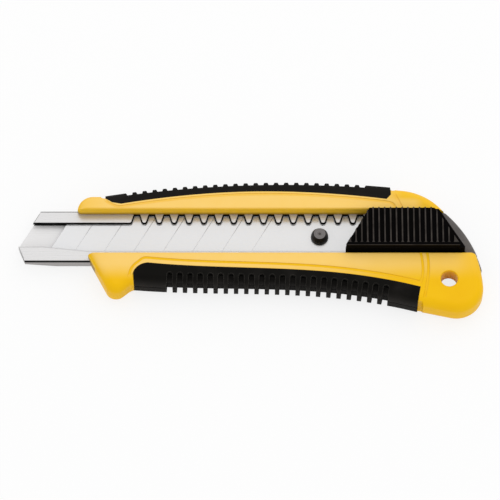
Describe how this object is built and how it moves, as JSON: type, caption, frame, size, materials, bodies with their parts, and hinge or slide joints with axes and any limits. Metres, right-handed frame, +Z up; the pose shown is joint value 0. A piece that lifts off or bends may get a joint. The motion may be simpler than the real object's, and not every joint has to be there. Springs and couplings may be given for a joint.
{
  "type": "snap-off utility knife",
  "caption": "Snap-off utility knife with a ratcheted thumb slider, steel blade channel, ribbed grips, spare blade magazine, pull-off end cap and lanyard hole.",
  "frame": {"origin": "on the surface that the knife lies on, under the centre of its bounding box", "axes": "+X along the knife from the nose to the lanyard hole, +Y towards the spine grip, +Z up through the thumb slider"},
  "size_m": [0.1668, 0.0514, 0.015],
  "materials": {
    "yellow_shell": "glossy moulded plastic, golden yellow",
    "grip_rubber": "matt soft rubber, near black",
    "channel_steel": "fine satin steel sheet",
    "blade_steel": "ground and polished carbon steel",
    "pin_steel": "turned steel",
    "screw_steel": "plated steel",
    "spring_steel": "plain spring steel",
    "slider_plastic": "hard plastic, near black, slightly worn",
    "cap_plastic": "dark brown-grey plastic"
  },
  "bodies": {
    "handle": {"back_shell": "yellow_shell", "upper_front_shell": "yellow_shell", "lower_front_shell": "yellow_shell", "upper_grip": "grip_rubber", "lower_grip": "grip_rubber", "shell_screws": "screw_steel", "blade_channel": "channel_steel", "channel_rivets": "screw_steel", "magazine_spring": "spring_steel", "magazine_plate": "channel_steel", "spare_blade_1": "blade_steel", "spare_blade_2": "blade_steel"},
    "slider": {"slider_button": "slider_plastic", "slider_carrier": "slider_plastic", "slider_screw": "screw_steel", "blade_tongue": "channel_steel", "blade_pin": "pin_steel", "blade": "blade_steel"},
    "lock_spring": {"lock_spring": "spring_steel"},
    "end_cap": {"end_cap": "cap_plastic"}
  },
  "joints": [
    {"name": "slider_travel", "type": "slide", "parent": "handle", "child": "slider", "axis": [-1, 0, 0], "range_m": [0, 0.09677]},
    {"name": "lock_spring_flex", "type": "hinge", "parent": "slider", "child": "lock_spring", "pos_m": [0.0432, 0.00805, 0.00595], "axis": [0, 0, 1], "range_deg": [-13, 0], "stiffness_Nm_per_rad": 0.02},
    {"name": "end_cap_pull", "type": "slide", "parent": "handle", "child": "end_cap", "axis": [1, 0, 0], "range_m": [0, 0.01]}
  ]
}
